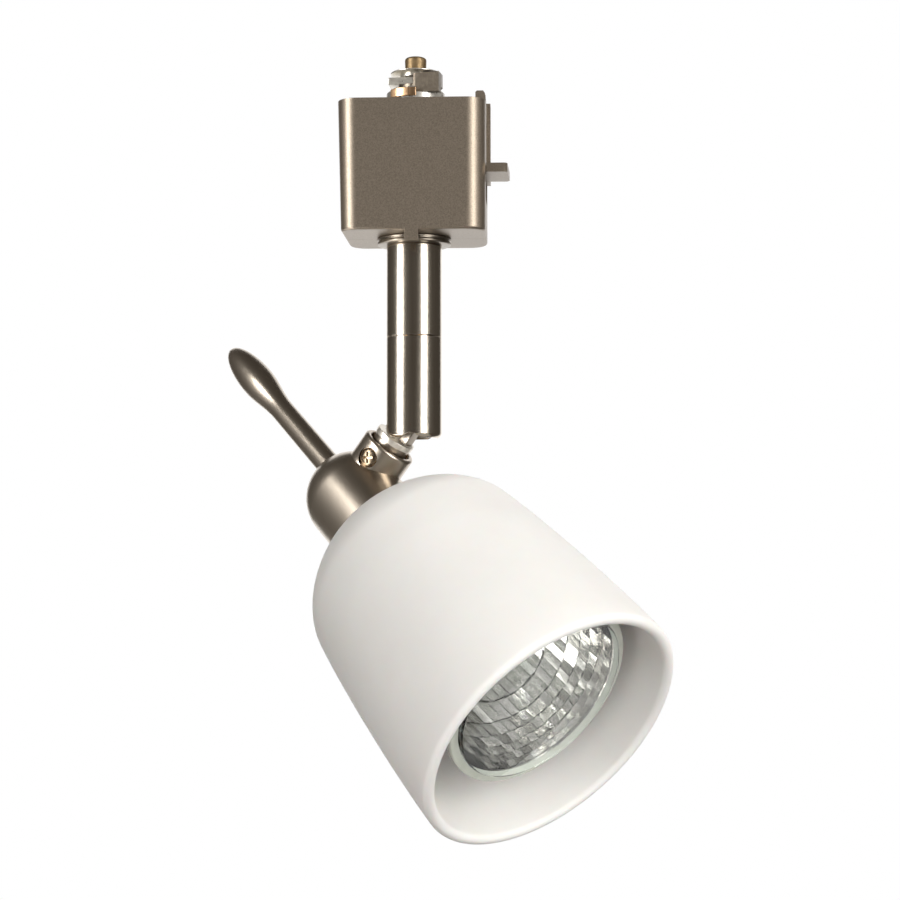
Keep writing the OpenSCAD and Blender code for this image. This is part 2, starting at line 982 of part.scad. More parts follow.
module lamp_capsule() {
    capsule_r = 4.6;
    tip = 76;
    color("#e8eef2")
        at_lamp()
            difference() {
                union() {
                    bar(51.5, tip - 3, capsule_r);
                    bar(tip - 3 - eps, tip, capsule_r, 2.4);
                    translate([44.2, -4, -1.5])
                        cube([8, 8, 3]);
                }
                bar(54, tip - 3.5, capsule_r - 0.9);
            }
}

module lamp_filament() {
    color("#8a8a88")
        at_lamp()
            bar(59, 69, 0.8);
}

front_cover();
rear_cover();
cover_screws();
contact_turret();
live_contact();
neutral_contact();
lock_head();
head_plate();
pin_washer();
terminal_block();
terminal_screws();
stem_nipple();
stem_locknut();
stem_collar();
upper_stem();
swivel_bush();
swivel_retainer();
pin_spring();
ground_pin();
latch_spring();
track_latch();
lower_stem();
swivel_washer();
knuckle_block();
hinge_pin();
knuckle_arm();
hinge_washers();
arm_retainer();
socket_cup();
boss_washer();
boss_screw();
aiming_handle();
handle_nut();
shade_gasket();
shade_nipple();
shade_ring();
glass_shade();
holder_bracket();
holder_screws();
lampholder();
holder_contacts();
lamp_base();
lamp_pins();
lamp_reflector();
lamp_cover_glass();
lamp_capsule();
lamp_filament();
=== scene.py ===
import json
import math

import bmesh
import bpy
from mathutils import Matrix, Vector

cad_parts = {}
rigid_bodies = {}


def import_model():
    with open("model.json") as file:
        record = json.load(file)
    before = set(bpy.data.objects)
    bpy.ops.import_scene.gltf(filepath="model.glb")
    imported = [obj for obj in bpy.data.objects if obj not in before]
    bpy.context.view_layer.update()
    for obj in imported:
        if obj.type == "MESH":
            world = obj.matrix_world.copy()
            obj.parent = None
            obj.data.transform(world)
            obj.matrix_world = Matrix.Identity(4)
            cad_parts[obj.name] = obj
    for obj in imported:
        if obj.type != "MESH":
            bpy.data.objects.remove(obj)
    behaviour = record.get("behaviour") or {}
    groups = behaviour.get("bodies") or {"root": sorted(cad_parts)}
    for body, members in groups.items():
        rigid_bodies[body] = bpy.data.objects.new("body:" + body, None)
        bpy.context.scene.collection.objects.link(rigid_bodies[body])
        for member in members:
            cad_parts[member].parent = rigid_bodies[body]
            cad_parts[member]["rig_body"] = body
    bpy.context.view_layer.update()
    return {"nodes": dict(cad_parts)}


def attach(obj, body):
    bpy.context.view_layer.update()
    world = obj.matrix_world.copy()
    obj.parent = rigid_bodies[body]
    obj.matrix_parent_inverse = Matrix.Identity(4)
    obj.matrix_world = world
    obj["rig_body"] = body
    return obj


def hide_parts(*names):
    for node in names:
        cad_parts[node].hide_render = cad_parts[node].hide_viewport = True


MM = 0.001
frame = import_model()
nodes = frame["nodes"]

# The frames of the CAD source, in millimetres and degrees
HINGE_Z, ARM_AZIMUTH, ARM_TILT, ARM_LEN, HEAD_TURN, LAMP_TILT, LAMP_PIVOT = -79.1, 156, 38.5, 29, 18, 4, 33


def turn(axis, degrees):
    return Matrix.Rotation(math.radians(degrees), 4, axis)


def shift(x, y, z):
    return Matrix.Translation((x * MM, y * MM, z * MM))


ARM = shift(0, 0, HINGE_Z) @ turn("Z", ARM_AZIMUTH) @ turn("Y", -ARM_TILT)
HEAD = ARM @ shift(0, 0, -ARM_LEN) @ turn("Z", 180 - HEAD_TURN)
LAMP = HEAD @ shift(LAMP_PIVOT, 0, 0) @ turn("Y", -LAMP_TILT) @ shift(-LAMP_PIVOT, 0, 0)
ALONG_X = turn("Y", 90)


# ---------------------------------------------------------------- materials
class Shader:
    """A Principled material whose noise layers are added one by one."""

    def __init__(self, name, base, rough, metal=0.0, **sockets):
        self.mat = bpy.data.materials.new(name)
        self.mat.use_nodes = True
        self.tree = self.mat.node_tree
        self.bsdf = self.tree.nodes["Principled BSDF"]
        self.bsdf.inputs["Roughness"].default_value = rough
        self.bsdf.inputs["Metallic"].default_value = metal
        self.bsdf.inputs["Base Color"].default_value = (*base, 1)
        for key, value in sockets.items():
            self.bsdf.inputs[key.replace("_", " ")].default_value = value
        self.base, self.rough = base, rough
        self.coords = self.tree.nodes.new("ShaderNodeTexCoord")

    def noise(self, scale, detail=3.0):
        """A noise layer in object coordinates; the three scales stretch its grain."""
        mapping = self.tree.nodes.new("ShaderNodeMapping")
        mapping.inputs["Scale"].default_value = scale
        self.tree.links.new(self.coords.outputs["Object"], mapping.inputs["Vector"])
        tex = self.tree.nodes.new("ShaderNodeTexNoise")
        tex.inputs["Scale"].default_value = 1.0
        tex.inputs["Detail"].default_value = detail
        self.tree.links.new(mapping.outputs["Vector"], tex.inputs["Vector"])
        return tex.outputs["Fac"]

    def spread(self, fac, low, high):
        """Stretches the middle of the noise's range to low and high."""
        ranged = self.tree.nodes.new("ShaderNodeMapRange")
        ranged.inputs["From Min"].default_value = 0.3
        ranged.inputs["From Max"].default_value = 0.7
        ranged.inputs["To Min"].default_value = low
        ranged.inputs["To Max"].default_value = high
        self.tree.links.new(fac, ranged.inputs["Value"])
        return ranged.outputs["Result"]

    def tint(self, scale, other):
        """Mixes the base colour towards another one by noise."""
        mix = self.tree.nodes.new("ShaderNodeMix")
        mix.data_type = "RGBA"
        mix.inputs[6].default_value = (*self.base, 1)
        mix.inputs[7].default_value = (*other, 1)
        self.tree.links.new(self.spread(self.noise(scale), 0, 1), mix.inputs[0])
        self.tree.links.new(mix.outputs[2], self.bsdf.inputs["Base Color"])
        return self

    def sheen(self, scale, spread):
        """Varies the roughness by noise."""
        out = self.spread(self.noise(scale), self.rough - spread, self.rough + spread)
        self.tree.links.new(out, self.bsdf.inputs["Roughness"])
        return self

    def bump(self, scale, depth):
        """Fine relief by noise, its depth in millimetres."""
        node = self.tree.nodes.new("ShaderNodeBump")
        node.inputs["Strength"].default_value = 1.0
        node.inputs["Distance"].default_value = depth * MM
        self.tree.links.new(self.noise(scale, 2.0), node.inputs["Height"])
        self.tree.links.new(node.outputs["Normal"], self.bsdf.inputs["Normal"])
        return self


def even(n):
    """The same noise scale along all three axes."""
    return (n, n, n)


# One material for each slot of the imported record
MATS = {
    "housing": Shader("taupe_paint", (0.205, 0.167, 0.126), 0.40, 0.8)
    .tint(even(3600), (0.30, 0.25, 0.195)).sheen(even(3200), 0.03).bump(even(3600), 0.0015),
    "satin_nickel": Shader("satin_nickel", (0.46, 0.40, 0.325), 0.21, 1.0)
    .tint((2600, 2600, 40), (0.56, 0.50, 0.42)).sheen((1800, 1800, 30), 0.012).bump((5200, 5200, 40), 0.0004),
    "dark_nickel": Shader("dark_nickel", (0.46, 0.40, 0.33), 0.3, 1.0)
    .tint((900, 160, 160), (0.475, 0.415, 0.34)).sheen((1500, 120, 120), 0.004),
    "turret": Shader("turret_resin", (0.62, 0.60, 0.55), 0.3, 0.55)
    .tint(even(900), (0.50, 0.47, 0.42)).sheen(even(700), 0.06).bump(even(2200), 0.006),
    "contact": Shader("contact_copper", (0.70, 0.45, 0.26), 0.3, 1.0)
    .tint((2600, 2600, 120), (0.55, 0.34, 0.19)).sheen((1800, 1800, 90), 0.06).bump((4200, 4200, 120), 0.002),
    "lock_metal": Shader("lock_metal", (0.215, 0.18, 0.14), 0.36, 0.95)
    .tint((1500, 500, 900), (0.15, 0.125, 0.095)).sheen(even(1200), 0.05).bump((2600, 700, 1500), 0.008),
    "bright_plate": Shader("bright_plate", (0.80, 0.765, 0.69), 0.3, 0.8)
    .tint(even(500), (0.70, 0.66, 0.58)).sheen(even(600), 0.03).bump(even(2500), 0.0006),
    "black_plastic": Shader("terminal_plastic", (0.05, 0.048, 0.045), 0.45)
    .tint(even(900), (0.075, 0.072, 0.066)).sheen(even(700), 0.06).bump(even(2600), 0.01),
    "thread_steel": Shader("thread_steel", (0.66, 0.62, 0.54), 0.3, 1.0)
    .tint(even(700), (0.54, 0.50, 0.43)).sheen(even(900), 0.07).bump((60, 60, 5200), 0.02),
    "spring_steel": Shader("spring_steel", (0.62, 0.62, 0.60), 0.28, 1.0)
    .tint(even(900), (0.52, 0.52, 0.50)).sheen(even(900), 0.06).bump(even(3000), 0.004),
    "zinc_screw": Shader("zinc_screw", (0.70, 0.70, 0.68), 0.28, 1.0)
    .tint(even(1200), (0.58, 0.59, 0.58)).sheen(even(1500), 0.07).bump(even(3600), 0.006),
    "zinc_block": Shader("zinc_block", (0.55, 0.50, 0.42), 0.36, 0.95)
    .tint(even(900), (0.45, 0.41, 0.34)).sheen(even(800), 0.07).bump(even(2400), 0.012),
    "pin_brass": Shader("aged_brass", (0.15, 0.098, 0.045), 0.46, 0.7)
    .tint(even(1100), (0.24, 0.165, 0.08)).sheen(even(900), 0.08).bump((1800, 1800, 3600), 0.006),
    "brass": Shader("brass", (0.74, 0.54, 0.28), 0.26, 1.0)
    .tint(even(900), (0.62, 0.44, 0.22)).sheen(even(900), 0.07).bump(even(2600), 0.006),
    "brass_screw": Shader("brass_screw", (0.30, 0.235, 0.16), 0.27, 1.0)
    .tint(even(1200), (0.22, 0.165, 0.11)).sheen(even(1500), 0.05).bump(even(3200), 0.0015),
    "gasket": Shader("gasket", (0.78, 0.76, 0.70), 0.6)
    .tint(even(700), (0.70, 0.68, 0.62)).sheen(even(700), 0.08).bump(even(1800), 0.02),
    "opal_glass": Shader("opal_glass", (0.90, 0.882, 0.855), 0.6, 0.0, Subsurface_Weight=0.12,
                         Subsurface_Scale=0.004, Specular_IOR_Level=0.12)
    .tint(even(60), (0.865, 0.85, 0.82)).sheen(even(240), 0.05).bump(even(2600), 0.004),
    "ceramic": Shader("ceramic", (0.86, 0.85, 0.81), 0.4)
    .tint(even(500), (0.79, 0.77, 0.73)).sheen(even(700), 0.07).bump(even(1800), 0.012),
    "lamp_base": Shader("lamp_base", (0.83, 0.81, 0.76), 0.45)
    .tint(even(500), (0.75, 0.73, 0.68)).sheen(even(700), 0.07).bump(even(1800), 0.012),
    "lamp_mirror": Shader("lamp_mirror", (0.75, 0.74, 0.72), 0.12, 1.0)
    .tint(even(160), (0.69, 0.68, 0.66)).sheen(even(400), 0.02),
    "clear_glass": Shader("clear_glass", (0.97, 0.985, 0.975), 0.02, 0.0, Transmission_Weight=1.0, IOR=1.45)
    .tint(even(120), (0.955, 0.975, 0.96)),
    "filament": Shader("filament", (0.32, 0.31, 0.30), 0.4, 0.9)
    .tint(even(2400), (0.22, 0.21, 0.20)).bump((9000, 9000, 9000), 0.05),
}
# Finishes for a part of a piece only
COLLAR = (Shader("collar_nickel", (0.21, 0.18, 0.145), 0.34, 1.0)
          .tint((900, 900, 60), (0.27, 0.235, 0.19)).sheen(even(1200), 0.03))
RIM = (Shader("green_rim_glass", (0.80, 0.82, 0.74), 0.12, 0.0, Transmission_Weight=0.3, IOR=1.5)
       .tint(even(300), (0.72, 0.75, 0.66)).sheen(even(500), 0.04).bump(even(900), 0.01))
# Painted highlight: this pale colour stands for the flange's face catching the light
FLANGE_HIGHLIGHT = (Shader("flange_painted_highlight", (0.72, 0.67, 0.58), 0.3, 0.6)
         .tint((300, 2600, 300), (0.86, 0.81, 0.72)).sheen(even(600), 0.03).bump((500, 4200, 500), 0.0006))


def paint(obj, slot):
    """Gives an object the material of a slot."""
    obj.data.materials.clear()
    obj.data.materials.append(MATS[slot].mat)


# ---------------------------------------------------------------- mesh helpers
def smooth(mesh, sharp=32):
    """Smooth shading, with edges above this angle in degrees kept sharp."""
    for face in mesh.polygons:
        face.use_smooth = True
    mesh.set_sharp_from_angle(angle=math.radians(sharp))


def add(name, bm, place, body, slot, stands_for, sharp=32):
    """Links a finished bmesh, in its own frame, as a piece that rides on a body."""
    bmesh.ops.recalc_face_normals(bm, faces=bm.faces)
    mesh = bpy.data.meshes.new(name)
    bm.to_mesh(mesh)
    bm.free()
    mesh.transform(place)
    smooth(mesh, sharp)
    obj = bpy.data.objects.new(name, mesh)
    bpy.context.scene.collection.objects.link(obj)
    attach(obj, body)
    paint(obj, slot)
    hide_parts(*stands_for)
    return obj


def lathe(bm, profile, segments=128, place=Matrix.Identity(4)):
    """Turns [radius, height] points in millimetres about Z; the profile closes on itself or on the axis."""
    on_axis = 1e-6
    rings = []
    for r, h in profile:
        if r < on_axis:
            rings.append([bm.verts.new(place @ Vector((0, 0, h * MM)))])
            continue
        angles = [math.tau * k / segments for k in range(segments)]
        rings.append([
            bm.verts.new(place @ Vector((r * MM * math.cos(a), r * MM * math.sin(a), h * MM))) for a in angles
        ])
    closed = profile[0][0] > on_axis and profile[-1][0] > on_axis
    pairs = list(zip(rings, rings[1:])) + ([(rings[-1], rings[0])] if closed else [])
    for a, b in pairs:
        for k in range(segments):
            j = (k + 1) % segments
            ring = [a[k % len(a)], a[j % len(a)], b[j % len(b)], b[k % len(b)]]
            corner = list(dict.fromkeys(ring))
            if len(corner) > 2:
                bm.faces.new(corner)


def arc(cx, cy, r, start, end, steps=6):
    """Profile points on a round about (cx, cy), from one angle in degrees to another."""
    return [
        (cx + r * math.cos(math.radians(start + (end - start) * i / steps)),
         cy + r * math.sin(math.radians(start + (end - start) * i / steps)))
        for i in range(steps + 1)
    ]


def cleaned(node):
    """The CAD node's shape as a bmesh with joined vertices and whole flat faces."""
    bm = bmesh.new()
    bm.from_mesh(nodes[node].data)
    bmesh.ops.remove_doubles(bm, verts=bm.verts, dist=2e-6)
    bmesh.ops.dissolve_limit(bm, angle_limit=math.radians(0.6), verts=bm.verts, edges=bm.edges)
    return bm


def sharp_edges(bm, least=34):
    """Edges that fold by more than this angle in degrees."""
    return [e for e in bm.edges if len(e.link_faces) == 2 and math.degrees(e.calc_face_angle(0)) > least]


def even_shading(obj):
    """Lets the flat faces, and not the small rounds, set the shading."""
    weighted = obj.modifiers.new("weighted", "WEIGHTED_NORMAL")
    weighted.keep_sharp = True


def rounded(bm, edges, width, segments=2):
    """Rounds these edges of a bmesh; the width is in millimetres."""
    bmesh.ops.bevel(bm, geom=edges, offset=width * MM, offset_type="OFFSET", segments=segments, profile=0.5,
                    affect="EDGES", clamp_overlap=True)


def edged(node, slot, width):
    """Stands for a CAD node with its sharp edges broken by a small round."""
    bm = cleaned(node)
    rounded(bm, sharp_edges(bm), width)
    even_shading(add(node + "_look", bm, Matrix.Identity(4), nodes[node]["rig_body"], slot, [node]))


# ---------------------------------------------------------------- adapter
FLOOR_ROUND, EDGE_ROUND = 0.8, 0.16
DRAW_IN, DRAW_FROM, DRAW_OVER, ADAPTER_H = 0.85, 0.010, 0.009, 0.0338


def cover(node):
    """Housing half: softer outer bottom edge, broken edges, and one side that draws in towards the floor."""
    bm = cleaned(node)
    low = min(v.co.z for v in bm.verts if abs(v.co.x) > DRAW_FROM)
    outer = [
        e for e in bm.edges
        if all(abs(v.co.z - low) < 1e-5 for v in e.verts)
        and all(abs(v.co.x) > 0.0135 or abs(v.co.y) > 0.0150 for v in e.verts)
        and len(e.link_faces) == 2 and math.degrees(e.calc_face_angle(0)) > 50
        and not all(abs(v.co.y) < 1e-4 for v in e.verts)
    ]
    rounded(bm, outer, FLOOR_ROUND, 5)
    rounded(bm, sharp_edges(bm, 50), EDGE_ROUND)
    for v in bm.verts:
        if v.co.x < -DRAW_FROM:
            v.co.x += DRAW_IN * MM * (-v.co.z / ADAPTER_H) * ((-v.co.x - DRAW_FROM) / DRAW_OVER)
    even_shading(add(node + "_look", bm, Matrix.Identity(4), "adapter", "housing", [node]))


cover("front_cover")
cover("rear_cover")

# Parts that keep their CAD shape: slot, and how far their edges are broken
for part, finish, width in (
    ("contact_turret", "turret", 0.12), ("live_contact", "contact", 0.15),
    ("neutral_contact", "contact", 0.15), ("lock_head", "lock_metal", 0.18),
    ("head_plate", "bright_plate", 0.15), ("track_latch", "housing", 0.22),
    ("cover_screws", "zinc_screw", 0.08), ("terminal_block", "black_plastic", 0.2),
    ("terminal_screws", "brass", 0.06), ("knuckle_arm", "dark_nickel", 0.25),
    ("lower_stem", "satin_nickel", 0.22), ("knuckle_block", "zinc_block", 0.15),
    ("shade_ring", "thread_steel", 0.2), ("stem_locknut", "thread_steel", 0.25),
    ("handle_nut", "zinc_screw", 0.2),
):
    edged(part, finish, width)

TURRET_X = 0.35
washer = bmesh.new()
lathe(washer, [(2.91, 8.8), (4.0, 8.8), (4.05, 8.9), (4.05, 9.5)] + arc(6.5, 9.82, 0.17, -90, 90, 6)
      + [(5.6, 10.12), (4.4, 10.4), (3.4, 10.5), (2.91, 10.5)], 96)
add("pin_washer_look", washer, shift(TURRET_X, 0, 0), "adapter", "bright_plate", ["pin_washer"])

collar = bmesh.new()
lathe(collar, [(4.9, -35.7), (7.7, -35.7)] + arc(9.2, -35.2, 0.45, -80, 40, 5)
      + [(9.36, -34.78), (9.30, -34.66), (9.32, -34.52), (9.62, -34.42)] + arc(9.5, -34.16, 0.2, -20, 60, 3)
      + [(9.5, -33.85), (4.9, -33.85)])
collar_piece = add(
    "stem_collar_look", collar, Matrix.Identity(4), "adapter", "satin_nickel", ["stem_collar"])
collar_piece.data.materials[0] = COLLAR.mat

tube = bmesh.new()
lathe(tube, [(6.15, -59.8)] + arc(7.05, -59.6, 0.2, -90, 0, 4) + [(7.25, -59.0), (7.25, -48), (7.25, -36.4)]
      + arc(6.95, -36.05, 0.3, 0, 90, 4)
      + [(4.85, -35.75), (4.85, -38.1), (6.15, -38.1), (6.15, -48)], 160)
add("upper_stem_look", tube, Matrix.Identity(4), "adapter", "satin_nickel", ["upper_stem"])

# The flange of the arm gets a pale colour, a painted highlight for where its face catches the light
arm_piece = bpy.data.objects["knuckle_arm_look"]
arm_piece.data.materials.append(FLANGE_HIGHLIGHT.mat)
to_arm = ARM.inverted()
FLANGE_LOW, FLANGE_HIGH = -10.0, -8.2
for poly in arm_piece.data.polygons:
    spot = to_arm @ poly.center / MM
    if FLANGE_LOW < spot.z < FLANGE_HIGH:
        poly.material_index = 1

# ---------------------------------------------------------------- cup, boss and handle
CUP_R, CUP_BORE_R = 12.6, 10.8
BOSS_R, BOSS_BORE_R, SEAT_R, MOUTH_Z, SEAT_Z, LIP_ROUND = 7.25, 4.06, 5.85, 17.7, 15.2, 0.75
cup = bmesh.new()
lathe(cup, [(0, -CUP_R)] + arc(0, 0, CUP_R, -88, 0, 44) + [(CUP_R, 4), (CUP_R, 10), (CUP_R, 15.7)]
      + arc(CUP_R - 0.4, 15.9, 0.4, 0, 90, 4) + [(CUP_BORE_R, 16.3), (CUP_BORE_R, 0)]
      + arc(0, 0, CUP_BORE_R, 0, -88, 20) + [(0, -CUP_BORE_R)], 160, ALONG_X)
boss = bmesh.new()
flare = [(BOSS_R + 0.9 * (1 - math.sin(math.radians(a))), 9.6 + 1.5 * (1 - math.cos(math.radians(a))))
         for a in range(0, 91, 15)]
lathe(boss, [(BOSS_BORE_R, 9.7), (5.6, 9.0), (8.3, 8.9)] + flare
      + [(BOSS_R, 11.4 + 0.35 * i) for i in range(16)]
      + arc(BOSS_R - LIP_ROUND, MOUTH_Z - LIP_ROUND, LIP_ROUND, 0, 90, 6)
      + [(6.05, MOUTH_Z - 0.05), (SEAT_R, MOUTH_Z - 0.3), (SEAT_R, SEAT_Z), (BOSS_BORE_R, SEAT_Z)])
cup_piece = add("socket_cup_look", cup, HEAD, "head", "dark_nickel", ["socket_cup"])
boss_piece = add("cup_boss_look", boss, HEAD, "head", "dark_nickel", ["socket_cup"])


def tool(name, bm, place):
    """A throw-away solid that cuts into a piece."""
    bmesh.ops.recalc_face_normals(bm, faces=bm.faces)
    mesh = bpy.data.meshes.new(name)
    bm.to_mesh(mesh)
    bm.free()
    obj = bpy.data.objects.new(name, mesh)
    bpy.context.scene.collection.objects.link(obj)
    obj.matrix_world = place
    return obj


def cutter(name, place, radius, start, end):
    """A round tool about the Z axis of its own frame."""
    bm = bmesh.new()
    lathe(bm, [(0, start), (radius, start), (radius, end), (0, end)], 64)
    return tool(name, bm, place)


def slot_cutter(name, place, reach, width, low, top):
    """A tool for a straight slot: half its length and width at the top, with ends that slant inwards."""
    bm = bmesh.new()
    at = [
        bm.verts.new(Vector((x * reach * (1 if z else 0.5), y * width, top if z else low)) * MM)
        for z in (0, 1) for x, y in ((-1, -1), (1, -1), (1, 1), (-1, 1))
    ]
    for ring in ((0, 1, 2, 3), (4, 5, 6, 7), (0, 1, 5, 4), (1, 2, 6, 5), (2, 3, 7, 6), (3, 0, 4, 7)):
        bm.faces.new([at[k] for k in ring])
    return tool(name, bm, place)


def carve(piece, tools):
    """Cuts the tools out of a piece and throws them away."""
    for one in tools:
        cut = piece.modifiers.new("cut", "BOOLEAN")
        cut.operation, cut.solver, cut.object = "DIFFERENCE", "EXACT", one
    bpy.context.view_layer.update()
    made = bpy.data.meshes.new_from_object(piece.evaluated_get(bpy.context.evaluated_depsgraph_get()))
    piece.modifiers.clear()
    piece.data = made
    smooth(made)
    for one in tools:
        bpy.data.objects.remove(one)


# The lock screw in its recess
SCREW = HEAD @ shift(0, 0, 13.2) @ turn("Z", 16) @ turn("X", 90)
SCREW_SEAT = SCREW @ shift(0, 0, 5.85)
SCREW_R, RIM_H, CROWN_H, SLOT_TURN = 2.6, 0.4, 0.95, 38
carve(boss_piece, [cutter("hole", SCREW, 1.82, 0, 12), cutter("recess", SCREW, 2.77, 5.8, 12)])
lock_screw = bmesh.new()
crown = [(SCREW_R * math.cos(math.radians(a)), RIM_H + CROWN_H * math.sin(math.radians(a)))
         for a in range(10, 90, 10)]
lathe(lock_screw, [(0, -1.7), (1.75, -1.7), (1.75, 0), (2.5, 0), (SCREW_R, 0.12), (SCREW_R, RIM_H)] + crown
      + [(0, RIM_H + CROWN_H)], 64)
screw_piece = add("boss_screw_look", lock_screw, SCREW_SEAT, "head", "brass_screw", ["boss_screw"])
carve(screw_piece, [
    slot_cutter("slot", SCREW_SEAT @ turn("Z", SLOT_TURN) @ turn("Z", a), 2.0, 0.3, 0.1, 2.2) for a in (0, 90)])

HANDLE = HEAD @ shift(0, 0, 0.8) @ turn("Y", -90)
carve(cup_piece, [cutter("seat", HANDLE, 3.9, 12.05, 20), cutter("bore", HANDLE, 2.02, 5, 14)])

HANDLE_LEN, NECK_R, GRIP_R = 73.2, 3.25, 4.75


def handle_r(x):
    """Radius of the handle: a plain neck, a smooth swell and a half ellipse for the tip."""
    swell, neck = HANDLE_LEN - 16.2, HANDLE_LEN - 32.2
    if x < neck:
        return NECK_R + 0.1 * (neck - x) / neck
    if x < swell:
        return NECK_R + (GRIP_R - NECK_R) * (1 - math.cos(math.pi * (x - neck) / (swell - neck))) / 2
    return GRIP_R * math.sqrt(max(0, 1 - ((x - swell) / (HANDLE_LEN - swell)) ** 2))


FOOT, STEPS = 12.3, 96
handle = bmesh.new()
grip = [FOOT + (HANDLE_LEN - FOOT) * math.sin(math.pi / 2 * i / STEPS) for i in range(STEPS)]
lathe(handle, [(0, 8.6), (2, 8.6), (2, 12.07), (handle_r(FOOT) - 0.2, 12.07)]
      + [(handle_r(x), x) for x in grip] + [(0, HANDLE_LEN)], 96)
add("aiming_handle_look", handle, HANDLE, "head", "dark_nickel", ["aiming_handle"])

pin = bmesh.new()
lathe(pin, [(0, -5.4), (3, -5.4), (3, -4.4), (1.6, -4.4), (1.6, 10.55), (2.62, 10.55), (2.75, 10.75),
            (2.8, 12.2), (2.85, 13.3)] + arc(2.15, 13.5, 0.7, 0, 90, 6) + [(0.9, 14.2), (0, 14.12)], 72)
add("ground_pin_look", pin, shift(TURRET_X, 0, 0), "ground_pin", "pin_brass", ["ground_pin"])


# ---------------------------------------------------------------- shade
def cubic(p, s):
    """Point of a cubic curve with four control points."""
    a, b, c, d = (Vector(q) for q in p)
    return (1 - s) ** 3 * a + 3 * s * (1 - s) ** 2 * b + 3 * s * s * (1 - s) * c + s ** 3 * d


def cubic_dir(p, s):
    """Direction of the same curve."""
    a, b, c, d = (Vector(q) for q in p)
    return (3 * (1 - s) ** 2 * (b - a) + 6 * s * (1 - s) * (c - b) + 3 * s * s * (d - c)).normalized()


# Outer wall as [radius, distance along the head], from the neck to the mouth
SHOULDER = [(12.9, 17.2), (18.7, 17.9), (29.5, 26.9), (30.6, 35.5)]
SIDE = [(30.6, 35.5), (32.7, 50), (34.7, 75), (34.9, 92.6)]
GLASS_T = 3
walk = [(SHOULDER, i / 28) for i in range(28)] + [(SIDE, i / 36) for i in range(37)]
outer = [cubic(p, s) for p, s in walk]
inner = [cubic(p, s) + GLASS_T * Vector((-cubic_dir(p, s).y, cubic_dir(p, s).x)) for p, s in walk]
middle = (outer[-1] + inner[-1]) / 2
lip = [middle + GLASS_T / 2 * Vector((math.cos(math.radians(a)), math.sin(math.radians(a))))
       for a in range(15, 180, 15)]
shade = bmesh.new()
lathe(shade, [(9.6, 17.2)] + [tuple(p) for p in outer + lip + inner[::-1]] + [(9.6, 20.2)], 224)
add("glass_shade_look", shade, HEAD @ ALONG_X, "head", "opal_glass", ["glass_shade"])

# ---------------------------------------------------------------- lamp
BASE_FRONT, LAMP_FRONT, BOWL_T = 50, 84.4, 1.3
FRONT = LAMP_FRONT - 2.2
NECK_WIDE, MOUTH_WIDE, BOWL_POWER = 9.2, 23.6, 0.55
RIM_FROM = 22.6


def bowl_r(x):
    """Outer radius of the reflector at a distance along the lamp."""
    return NECK_WIDE + (MOUTH_WIDE - NECK_WIDE) * ((x - BASE_FRONT) / (FRONT - BASE_FRONT)) ** BOWL_POWER


shell = bmesh.new()
stations = [BASE_FRONT + (FRONT - BASE_FRONT) * (i / 28) ** 1.6 for i in range(29)]
back = [(bowl_r(x), x) for x in stations]
face = [(r - BOWL_T - 0.02, x + 0.4) for r, x in back[1:]]
lathe(shell, [(6.2, 44.1), (NECK_WIDE, 44.1)] + back + arc(24.95, FRONT + 0.4, 0.4, -90, 0, 4)
      + arc(24.85, LAMP_FRONT - 0.5, 0.5, 0, 90, 4) + [(23.2, LAMP_FRONT)] + face[::-1]
      + [(7.4, 51.6), (6.2, 50)], 160, ALONG_X)
shell_piece = add("lamp_reflector_look", shell, LAMP, "head", "lamp_mirror", ["lamp_reflector"])
shell_piece.data.materials.append(RIM.mat)
to_lamp = LAMP.inverted()
for poly in shell_piece.data.polygons:
    spot = to_lamp @ poly.center / MM
    if spot.x > FRONT - 0.1 and math.hypot(spot.y, spot.z) > RIM_FROM:
        poly.material_index = 1

# Facets of the mirror: rows of shallow pillows in a brick bond, a little inside the shell.
# CELL is the faces along one side of a pillow, INWARD its rise, MARGIN the gap round it as a share of its side.
facets = bmesh.new()
ROWS, COLS, CELL, INWARD, MARGIN = 16, 60, 2, 0.035, 0.035
LEAN, TIP = 0.19, 0.17
PATH_STEPS = 160
PATH = [Vector((x, bowl_r(x - 0.4) - BOWL_T - 0.38))
        for x in (BASE_FRONT + 1.4 + (FRONT - BASE_FRONT - 1.5) * (i / PATH_STEPS) ** 1.6
                  for i in range(PATH_STEPS + 1))]
RUN = [0]
for near, far in zip(PATH, PATH[1:]):
    RUN.append(RUN[-1] + (far - near).length)


def mirror_point(u, v):
    """Point just inside the mirror: u runs evenly from the neck to the front, v counts columns round it."""
    at = max(1, next((k for k, run in enumerate(RUN) if run >= u * RUN[-1] - 1e-9), len(RUN) - 1))
    x, r = PATH[at - 1].lerp(PATH[at], (u * RUN[-1] - RUN[at - 1]) / (RUN[at] - RUN[at - 1]))
    a = math.tau * v / COLS
    return Vector((x, r * math.cos(a), r * math.sin(a))) * MM


def pillow_point(ends, s, t, lean, tip):
    """Point of one cell, at the shares s and t of its sides."""
    rise = INWARD * (1 - (2 * s - 1) ** 2) * (1 - (2 * t - 1) ** 2) + lean * (t - 0.5) + tip * (s - 0.5)
    flat = ((1 - s) * ((1 - t) * ends[0][0] + t * ends[0][1])
            + s * ((1 - t) * ends[1][0] + t * ends[1][1]))
    return flat + Vector((0, -flat.y, -flat.z)).normalized() * rise * MM


